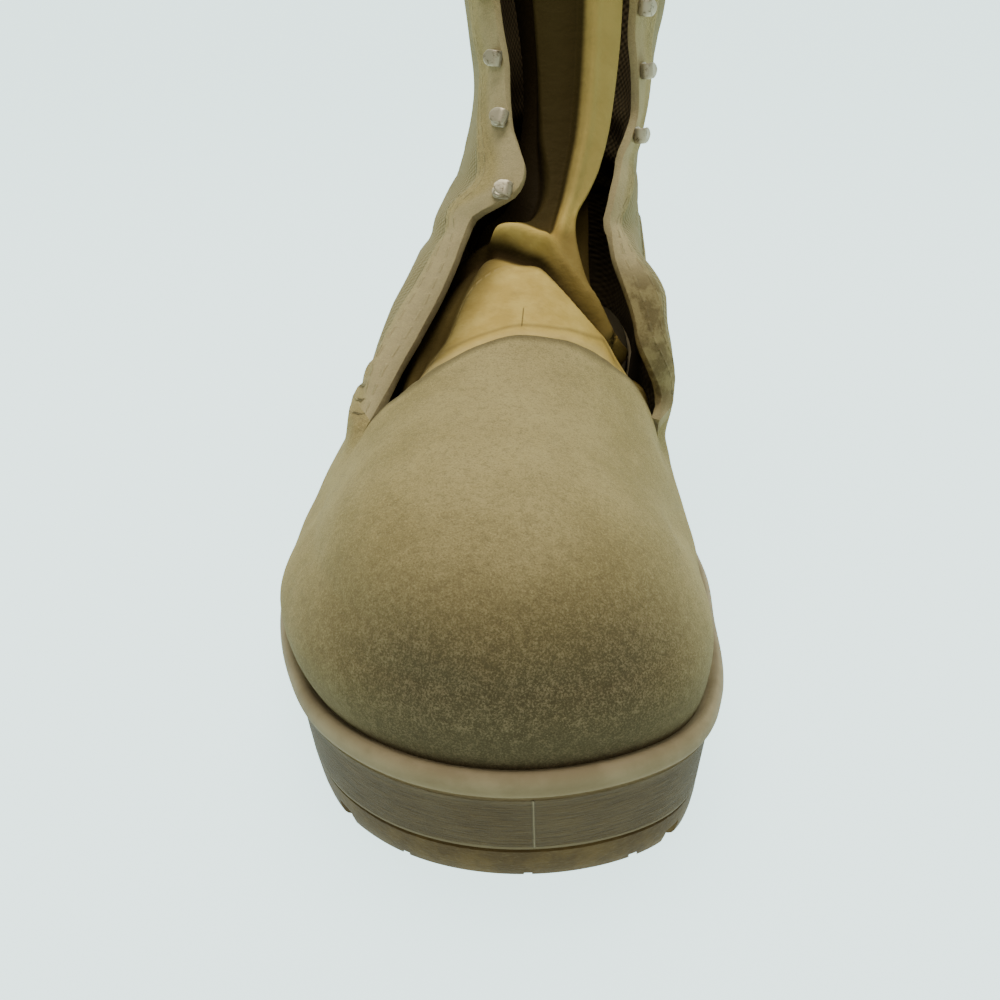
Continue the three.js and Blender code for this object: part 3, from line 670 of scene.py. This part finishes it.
def dressed(grid, distances, is_side):
    """The grid with its overlays standing proud of the cloth, its folds, a raised lip along the top of the
    lateral quarter and a slight unevenness; the distance into the suede; and the place along the seam."""
    from_edge, from_back, from_collar = distances
    y, z = grid[..., 1], grid[..., 2]
    quarter = along(QUARTER_TOP, 1, y) - z
    facing = along(FACING, 1, z) - from_edge
    ways = np.stack([quarter, facing, BACKSTAY - from_back, COLLAR_BAND - from_collar])
    nearest = np.argmax(ways, axis=0)
    suede = np.where(is_side, np.max(ways, axis=0), 30.0)
    seam_run = np.where((nearest == 0) | (nearest == 3), y, z)
    side_sign = np.where(grid[..., 0] < along(THROAT, 1, z) / 2 + along(THROAT, 2, z) / 2, 1, -1)
    lip = (ease(-1, 1, quarter) * (1 - ease(3, 15, quarter)) * (1 - ease(5, 30, y)) * ease(6, 15, from_edge)
           * (side_sign > 0))
    uneven = (np.sin(y / 11 + z / 23) * np.sin(z / 13 - grid[..., 0] / 17) + np.sin(y / 29 - z / 19)) * 0.22
    uneven = uneven * ease(0, 12, z - feather(y))
    out = OVERLAY * ease(-1.1, 1.1, suede) + 2.2 * lip * is_side - fold_depth(grid, side_sign) + uneven
    return grid + out[..., None] * skin_normals(grid), suede, seam_run


back_column = np.array([np.interp(math.pi, angles, np.arange(SIDE_COLUMNS)) for angles in high_angles])
back_run = np.array([np.interp(c, np.arange(SIDE_COLUMNS), row) for c, row in zip(back_column, high_run)])
edge_distance = np.minimum(high_run, high_run[:, -1:] - high_run)
far = np.full(low_h.shape, FAR)
low_is_side = np.broadcast_to(np.arange(len(low_angles)) >= VAMP_COLUMNS, low_h.shape)
low_grid, low_suede, low_seam = dressed(low_grid, (far, far, far), low_is_side)
high_distances = (edge_distance, np.abs(high_run - back_run[:, None]), COLLAR - high_h)
high_grid, high_suede, high_seam = dressed(high_grid, high_distances, np.ones_like(high_h, bool))
meeting = np.r_[np.arange(VAMP_COLUMNS - 1, len(low_angles)), 0]
high_grid[0] = low_grid[-1, meeting]
high_suede[0], high_seam[0] = low_suede[-1, meeting], low_seam[-1, meeting]
free_edge = np.concatenate([far.ravel(), edge_distance.ravel()])
vamp_drop = np.concatenate([np.where(low_is_side, FAR, low_top - low_h).ravel(), np.full(high_h.size, FAR)])

suede = Finish("rough_out_suede", roughness=0.93, specular_ior_level=0.12, sheen_weight=0.18,
               sheen_roughness=0.6, sheen_tint=paint(206, 186, 132))
place = suede.place()
x, y, z = suede.axes(place)
inside = suede.mark("into_suede")
seam = suede.mark("along_seam")
edge = suede.mark("free_edge")
drop = suede.mark("below_vamp_edge")
nap = suede.noise(place, 0.42, 3.0, 0.8)
grain = suede.noise(place, 1.7, 3.0, 0.65)
cloud = suede.noise(place, 16, 3.0, 0.55)
brushed = suede.noise(place, 5.0, 4.0, 0.7, (1.0, 1.6, 1.0))
is_suede = inside.eased(-0.25, 0.25)
hide = suede.blend(cloud.eased(0.3, 0.7), paint(122, 108, 66), paint(140, 125, 80))
# painted highlight: the vamp's crown lighter, where the overhead light falls on it
crown = z.eased(62.0, 76.0) * y.eased(-36.0, -50.0) * (x - 8).size().eased(28.0, 6.0)
hide = suede.blend(crown * 0.3, hide, paint(166, 150, 104))
hide = suede.blend(brushed.eased(0.5, 0.75) * 0.45, hide, paint(152, 136, 86))
hide = suede.blend((1 - grain.eased(0.3, 0.55)) * 0.4, hide, paint(104, 92, 62))
hide = suede.blend(nap.eased(0.5, 0.68) * 0.5, hide, paint(168, 151, 100))
hide = suede.blend((1 - nap.eased(0.33, 0.48)) * 0.6, hide, paint(96, 84, 56))
# the toe's front darker: dirt, and painted shade where it turns down away from the overhead light; lowest on
# the toe, just above the bead, darker still
toe_dirt_and_shade = y.eased(-84.0, -136.0) * z.eased(88.0, 52.0) * (1 - (x - 15).size().eased(18.0, 46.0) * 0.35)
fibres = (nap * 0.7 + grain * 0.3).eased(0.44, 0.66)
soiled_and_shaded = suede.blend(fibres * 0.75, paint(64, 56, 36), paint(128, 115, 84))
hide = suede.blend((toe_dirt_and_shade * 0.8 + toe_dirt_and_shade * cloud * 0.3).least(0.95), hide, soiled_and_shaded)
hide = suede.blend(y.eased(-96.0, -128.0) * z.eased(50.0, 41.0) * 0.45, hide, paint(58, 51, 33))
# painted highlight: lighter along the flaps' free edges high up
hide = suede.blend(edge.eased(9.0, 4.0) * z.eased(180.0, 150.0) * 0.4, hide, paint(166, 153, 118))
# painted shade: darker along the flaps' free edges low down, where they curl inward
hide = suede.blend((1 - edge.eased(0.0, 4.0)) * 0.3 * z.eased(125.0, 95.0), hide, paint(72, 62, 38))
# painted shade, partly dirt: the medial flap below the hooks darker
shade = x.eased(22.0, 31.0) * y.eased(-44.0, -34.0) * y.eased(14.0, -2.0)
shade = shade * z.eased(66.0, 76.0) * z.eased(108.0, 98.0)
shaded_and_soiled_nap = suede.blend(brushed.eased(0.4, 0.6), paint(74, 62, 32), paint(112, 100, 62))
hide = suede.blend(shade * 0.85, hide, shaded_and_soiled_nap)
warp = (y * 3.4).sine()
weft = (z * 3.4).sine()
weave = (warp * weft) * 0.5 + 0.5
cloth = suede.blend(weave.eased(0.2, 0.8), paint(104, 95, 62), paint(122, 112, 76))
cloth = suede.blend(cloud.eased(0.35, 0.7) * 0.4, cloth, paint(126, 116, 84))
colour = suede.blend(is_suede, cloth, hide)
thread = (inside.line(2.4, 0.42) + inside.line(5.0, 0.42)) * (1 - (seam / 3.1).rest().eased(0.6, 0.72))
# painted shade along the edges of the suede overlays, where they step over the cloth
colour = suede.blend(inside.line(-0.1, 0.55) * 0.75, colour, paint(58, 50, 30))
colour = suede.blend(thread * 0.45 * (1 - shade * 0.85), colour, paint(150, 136, 95))
# painted shade along the vamp's top edge, where the tongue passes under it
colour = suede.blend((1 - drop.eased(0.1, 0.9)) * 0.75, colour, paint(70, 60, 36))
suede.feed("Base Color", colour)
suede.relief((cloud, 0.7), (grain * is_suede, 0.28), (nap * is_suede, 0.16), (weave * (1 - is_suede), 0.3),
             (1 - inside.line(-0.1, 0.8), 0.35), (thread, 0.35))
lining = Finish("cloth_lining", roughness=0.95, specular_ior_level=0.1)
place = lining.place()
x, y, z = lining.axes(place)
knit = (y * 2.6 + x * 1.3).sine() * (z * 2.6).sine() * 0.5 + 0.5
knit_mottle = knit * 0.6 + lining.noise(place, 9) * 0.4
# painted shade: the lining's colours are kept dark, as it lies in shade inside the boot
lining.feed("Base Color", lining.blend(knit_mottle, paint(50, 41, 24), paint(84, 72, 46)))
lining.relief((knit, 0.25))

low_faces = sheet_faces(LOW_ROWS, len(low_angles), closed=True)[:, ::-1]
high_faces = sheet_faces(HIGH_ROWS, SIDE_COLUMNS)[:, ::-1]
low_count = LOW_ROWS * len(low_angles)
joined = np.arange(low_count + HIGH_ROWS * SIDE_COLUMNS)
joined[low_count:low_count + SIDE_COLUMNS] = (LOW_ROWS - 1) * len(low_angles) + meeting
kept, index = np.unique(joined, return_inverse=True)
upper_points = np.concatenate([low_grid.reshape(-1, 3), high_grid.reshape(-1, 3)])[kept]
upper_faces = index[np.concatenate([low_faces, high_faces + low_count])]
upper = new_piece("sewn_upper", in_frame(upper_points), upper_faces, [suede.material, lining.material])
marks = {"into_suede": np.concatenate([low_suede.ravel(), high_suede.ravel()]), "free_edge": free_edge,
         "along_seam": np.concatenate([low_seam.ravel(), high_seam.ravel()]), "below_vamp_edge": vamp_drop}
for name, value in marks.items():
    upper.data.attributes.new(name, "FLOAT", "POINT").data.foreach_set("value", value[kept])
thick = upper.modifiers.new("wall", "SOLIDIFY")
thick.thickness, thick.offset, thick.material_offset, thick.material_offset_rim = WALL / 1000, -1, 1, 0
rounded = upper.modifiers.new("turned_edges", "BEVEL")
rounded.width, rounded.segments = 0.0007, 2
rounded.limit_method, rounded.angle_limit = "ANGLE", math.radians(60)
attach(upper, "root")
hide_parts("upper")

# ---------------------------------------------------------------- tongue
# One thin sheet of gold-tan leather with its gusset, sewn under the vamp's top edge. It swells over the
# instep, is pinched in a deep crease at the ankle, laps over it in a lip and stands folded in the shaft.
TONGUE_ABOVE = 8.0
# x, z of the crease at the ankle, seen from the front
CREASE = np.array([(-26, 101), (-21, 105.5), (-17, 108.3), (-12.4, 110), (-8.5, 110.7), (-4.5, 110.5),
                   (0, 109.8), (5.5, 108.8), (9.3, 106.5), (15.5, 101.4), (20.8, 96.2), (24.8, 91.4),
                   (28.5, 85.8), (34.4, 76.9), (39, 69)])
# x, z of the lip that laps over the crease
LIP = np.array([(-26, 103), (-17, 109.5), (-11, 111.8), (-7, 113.4), (-2, 113.8), (5, 112.2), (8, 111.2),
                (11.5, 108), (17, 102.5), (22, 97.5), (26.5, 91.5), (31, 84.5), (36, 76), (40, 68)])
# z, x of the upright fold between the tongue's shaded part and its bright strip, x where the strip and
# the gusset below it turn inward
UPRIGHT = np.array([(100, 8.5, 21), (106, 8.5, 17.8), (112, 9, 15.6), (117, 10.4, 15.6), (121, 12, 19),
                    (126, 13.4, 22), (137, 15.8, 25), (160, 17, 27), (265, 17.5, 28)])
GUSSET = np.array([(72, 38.5), (76, 36), (83.7, 31), (90, 27), (94.2, 24.6), (100, 21.2)])
UNDER_VAMP = 3.3  # how deep the tongue lies where the vamp covers it
TONGUE_WALL = 2.2


def tongue_depth(a, h, x, z):
    """How far the tongue lies inside the upper's outer skin: a swelling above the vamp, a groove along the
    crease, a ridge along the lip and, higher up, a deep part beside a raised strip. Beyond the strip and
    beside the lateral flap it turns inward."""
    above_vamp = h - vamp_height(a)
    above_crease = z - along(CREASE, 1, x)
    above_lip = z - along(LIP, 1, x)
    puffed = 1.9 * ease(1, 9, above_vamp) * ease(-1, -11, above_crease)
    swell = mix(UNDER_VAMP, 1.3, ease(-0.8, 1.2, above_vamp)) - puffed
    middle = ease(-20, -11, x)
    crease = mix(2.4, 4.8, middle) * soft_band(above_crease, 0, mix(2.4, 1.7, ease(-3, 6, x)))
    lip = mix(1.2, mix(3.6, 1.6, ease(6, 12, x)), middle) * soft_band(above_lip, 0, 1.6)
    beside = x - along(UPRIGHT, 1, z)
    shaft = mix(8.0, 2.4, ease(-1.8, 1.0, beside)) - 1.2 * soft_band(beside, 1.6, 1.8)
    shaft = mix(2.8, shaft, ease(1.0, 6, above_lip))
    turned = x - np.where(z > 100, along(UPRIGHT, 2, z), along(GUSSET, 1, z))
    inward = 10.0 * ease(-0.6, 5.0, turned) * ease(-1, 2, above_crease)
    beside_flap = 4.5 * ease(8, 1, x - along(THROAT, 1, z))
    folds = (crease - lip + inward + beside_flap) * ease(0, 5, above_vamp)
    return mix(swell, shaft, ease(-1.2, 1.2, above_crease)) + folds


def last_normals(a, h):
    """Outward unit normals of the last, from its slopes up and along its rings."""
    out = np.cross(last(a, h + 0.5) - last(a, h - 0.5), last(a + 0.01, h) - last(a - 0.01, h))
    return out / np.linalg.norm(out, axis=-1, keepdims=True)


TONGUE_COLUMNS, TONGUE_ROWS = 190, 220
top_h = COLLAR + TONGUE_ABOVE
ring_h = np.linspace(20, top_h, 300)
under_flap = {1: np.radians(mix(6, 20, ease(44, 84, ring_h))),
              -1: np.radians(mix(5, 12, ease(34, 70, ring_h)))}
tongue_side = {side: edge_angle(np.minimum(ring_h, COLLAR), side) + under_flap[side] for side in (1, -1)}
width_share = np.linspace(0, 1, TONGUE_COLUMNS)
foot_h = vamp_height(mix(tongue_side[1][0], -tongue_side[-1][0], width_share)) - 5.0
# rows lie closer about the ankle's folds
tongue_h = mix(foot_h, top_h, np.linspace(0, 1, TONGUE_ROWS)[:, None] ** 1.35)
side_a = [np.interp(tongue_h, ring_h, tongue_side[side]) for side in (1, -1)]
tongue_a = mix(side_a[0], -side_a[1], width_share)
tongue_skin = last(tongue_a, tongue_h)
tongue_x, tongue_z = tongue_skin[..., 0], tongue_skin[..., 2]
depth = tongue_depth(tongue_a, tongue_h, tongue_x, tongue_z)
tongue_grid = tongue_skin - depth[..., None] * last_normals(tongue_a, tongue_h)

tongue_leather = Finish("tongue_leather", roughness=0.75, specular_ior_level=0.05)
place = tongue_leather.place()
x, y, z = tongue_leather.axes(place)
sunk = tongue_leather.mark("sunk")
stitch_line = tongue_leather.mark("stitch_line")
pores = tongue_leather.noise(place, 0.8, 2.0, 0.6)
mottle = tongue_leather.noise(place, 8, 4.0, 0.6)
creased = tongue_leather.noise(place, 3.0, 3.0, 0.6, (1.6, 1.0, 0.9))
in_crease = tongue_leather.mark("in_crease")
from_flap = tongue_leather.mark("from_flap")
hide = tongue_leather.blend(mottle.eased(0.35, 0.68), paint(166, 139, 70), paint(182, 156, 84))
hide = tongue_leather.blend(creased.eased(0.55, 0.75) * 0.35, hide, paint(146, 122, 68))
hide = tongue_leather.blend(z.eased(112.0, 122.0) * 0.75, hide, paint(132, 116, 64))
# painted shade: the tongue darker where it lies sunk deep, darkest in the gully of the gusset
hide = tongue_leather.blend(sunk.eased(2.9, 6.2) * 0.95, hide, paint(40, 31, 10))
hide = tongue_leather.blend(sunk.eased(8.5, 11.5) * 0.9, hide, paint(28, 20, 6))
# painted shadow: the tongue beside the lateral flap darker, shaded by the flap
beside_flap = (from_flap - z.eased(92.0, 108.0) * 3.5).eased(14.0, 2.5) * z.eased(114.0, 108.0)
hide = tongue_leather.blend(beside_flap * 0.9, hide, paint(46, 36, 13))
low_right = x.eased(9.0, 17.0) * in_crease.eased(-0.5, 1.0) * z.eased(116.0, 110.0)
hide = tongue_leather.blend(low_right * 0.75, hide, paint(92, 75, 36))
# painted shadow under the lip, over the top of the swelling
aside = (x + 1).least(3)
under_lip = (in_crease + (aside * aside * 0.045).least(5)).eased(-3.2, -1.2) * in_crease.eased(0.8, 0.0)
hide = tongue_leather.blend(under_lip * 0.85 * z.eased(98.0, 103.0), hide, paint(58, 46, 19))
# painted shade along the crease
narrower = x.eased(5.0, 12.0)
crease_line = in_crease.line(-0.2, 1.6) * (1 - narrower) + in_crease.line(0.3, 0.9) * narrower
hide = tongue_leather.blend(crease_line * 0.85, hide, paint(46, 34, 13))
tick = x.line(6.8, 0.3) * z.line(97.2, 2.2).eased(0.1, 0.4)
hem = tongue_leather.mark("above_vamp")
hide = tongue_leather.blend(hem.line(0.9, 0.9) * 0.35, hide, paint(196, 172, 112))
hide = tongue_leather.blend(hem.line(2.1, 0.4) * 0.45, hide, paint(96, 80, 44))
hide = tongue_leather.blend(tick * 0.8, hide, paint(60, 52, 38))
dash = stitch_line.line(0.0, 0.4) * (1 - (x / 2.2).rest().eased(0.55, 0.7))
hide = tongue_leather.blend(dash * 0.5, hide, paint(140, 120, 74))
tongue_leather.feed("Base Color", hide)
tongue_leather.relief((mottle, 0.3), (creased, 0.35), (1 - stitch_line.line(0.0, 0.8), 0.3), (pores, 0.05))

tongue_faces = sheet_faces(TONGUE_ROWS, TONGUE_COLUMNS)
tongue = new_piece("folded_tongue", in_frame(tongue_grid), tongue_faces, [tongue_leather.material])
STITCH_TOP, STITCH_MIDDLE, STITCH_FALL = 107.5, 1.5, 0.035  # an arch: its top, its x and how fast it falls
marks = {"sunk": depth, "above_vamp": tongue_h - vamp_height(tongue_a),
         "in_crease": tongue_z - along(CREASE, 1, tongue_x),
         "from_flap": tongue_x - along(THROAT, 1, tongue_z),
         "stitch_line": tongue_z - STITCH_TOP + STITCH_FALL * (tongue_x - STITCH_MIDDLE) ** 2}
for name, value in marks.items():
    tongue.data.attributes.new(name, "FLOAT", "POINT").data.foreach_set("value", value.ravel())
thick = tongue.modifiers.new("wall", "SOLIDIFY")
thick.thickness, thick.offset = TONGUE_WALL / 1000, -1
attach(tongue, "root")
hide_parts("tongue")

# ---------------------------------------------------------------- lace hooks
# Strips of tan lacquered brass bent over into a hook, its mouth away from the throat, each held to the
# facing by one rivet whose eyelet shows through the strip's foot.
HOOK_COUNT, HOOK_PITCH, HOOK_INSET = 7, 16.0, 2.5
HOOK_FIRST = {1: 121.0, -1: 132.0}  # height of the lowest one: the medial flap hangs higher
HOOK_WIDTH, HOOK_THICK, HOOK_BEND, HOOK_REACH = 4.2, 0.7, 1.9, 2.7
EYELET_AT = 1.9  # from the bend to the middle of the eyelet, along the strip's foot
hook_metal = Finish("hook_metal", metallic=0.55, specular_ior_level=0.5)
place = hook_metal.place()
chips = hook_metal.noise(place, 1.6, 4.0, 0.7)
lacquer = hook_metal.blend(chips.eased(0.5, 0.7), paint(166, 155, 126), paint(100, 88, 62))
hook_metal.feed("Base Color", lacquer)
hook_metal.feed("Roughness", chips * 0.3 + 0.3)
hook_metal.relief((chips, 0.06))


def hook_strip():
    """The bent strip, its foot flat and its end turned back over it: rings across a C shaped path, rounded
    at both ends by their width. Axes: away from the throat, up the flap, out of the leather."""
    bend = np.linspace(1.5 * math.pi, 0.5 * math.pi, 14)
    radius = HOOK_BEND - HOOK_THICK / 2
    foot = np.stack([np.linspace(HOOK_REACH + 1.6, 0, 10), np.full(10, HOOK_THICK / 2)], 1)
    turn = np.stack([radius * np.cos(bend), HOOK_BEND + radius * np.sin(bend)], 1)
    tip_rise = 0.12 * np.linspace(0, 1.6, 10) ** 2
    tip = np.stack([np.linspace(0, HOOK_REACH, 10), 2 * HOOK_BEND - HOOK_THICK / 2 + tip_rise], 1)
    path = np.concatenate([foot, turn[1:-1], tip])
    way = np.gradient(path, axis=0)
    way /= np.linalg.norm(way, axis=1)[:, None]
    side = np.stack([-way[:, 1], way[:, 0]], 1)
    gone = np.r_[0, np.cumsum(np.linalg.norm(np.diff(path, axis=0), axis=1))]
    from_end = np.minimum(gone, gone[-1] - gone)
    half = HOOK_WIDTH / 2 * np.sqrt(1 - np.clip(1 - from_end / 2.2, 0, 1) ** 2 * 0.96)
    corner = np.radians(np.arange(16) * 22.5 + 11.25)
    round_x = np.sign(np.cos(corner)) * np.abs(np.cos(corner)) ** 0.45
    round_y = np.sign(np.sin(corner)) * np.abs(np.sin(corner)) ** 0.6
    rings = np.stack([path[:, None, 0] + side[:, None, 0] * round_y * HOOK_THICK / 2,
                      half[:, None] * round_x,
                      path[:, None, 1] + side[:, None, 1] * round_y * HOOK_THICK / 2], -1)
    n = len(corner)
    ends = [list(range(n)), list(range((len(path) - 1) * n, len(path) * n))[::-1]]
    return rings.reshape(-1, 3), [*sheet_faces(len(path), n, closed=True)[:, ::-1].tolist(), *ends]


def hook_eyelet():
    """The rivet's eyelet: a half round profile turned about the axis out of the leather."""
    swing = np.linspace(0, math.pi, 7)
    radius = np.r_[0.75, 1.35 - 0.55 * np.cos(swing)[::-1], 0.75]
    height = np.r_[-0.3, 0.75 + 0.45 * np.sin(swing), 0.3]
    n = 20
    turn = np.linspace(0, 2 * math.pi, n, endpoint=False)
    rings = np.stack([EYELET_AT + radius[:, None] * np.cos(turn), radius[:, None] * np.sin(turn),
                      np.broadcast_to(height[:, None], (len(height), n))], -1)
    last_ring = (len(height) - 1) * n
    bottom = list(range(last_ring, last_ring + n))
    return rings.reshape(-1, 3), [*sheet_faces(len(height), n, closed=True).tolist(), bottom]


hook_parts = [hook_strip(), hook_eyelet()]
hook_points = np.concatenate([points for points, _ in hook_parts])
hook_faces = hook_parts[0][1] + [[v + len(hook_parts[0][0]) for v in f] for f in hook_parts[1][1]]
for side, row_name in ((1, "lateral"), (-1, "medial")):
    inward_run = high_run if side > 0 else high_run[:, -1:] - high_run
    edge_z = high_grid[:, 0 if side > 0 else -1, 2]
    for number in range(HOOK_COUNT):
        k = int(np.argmin(np.abs(edge_z - HOOK_FIRST[side] - number * HOOK_PITCH)))
        i = int(np.argmin(np.abs(inward_run[k] - HOOK_INSET)))
        spot = high_grid[k, i]
        away = high_grid[k, i + side] - high_grid[k, i - side]
        away /= np.linalg.norm(away)
        up_flap = high_grid[k + 1, i] - high_grid[k - 1, i]
        out = np.cross(away, up_flap) * -side
        out /= np.linalg.norm(out)
        up_flap = np.cross(out, away)
        local = hook_points - (1.0, 0, 0)
        points = spot + local[:, :1] * away + local[:, 1:2] * up_flap + (local[:, 2:] + 0.1) * out
        faces = hook_faces if np.dot(np.cross(away, up_flap), out) > 0 else [f[::-1] for f in hook_faces]
        name = f"hook_{row_name}_{number + 1}"
        hook = new_piece("bent_" + name, in_frame(points), faces, [hook_metal.material])
        hook.data.set_sharp_from_angle(angle=math.radians(50))
        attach(hook, "root")
        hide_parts(name)
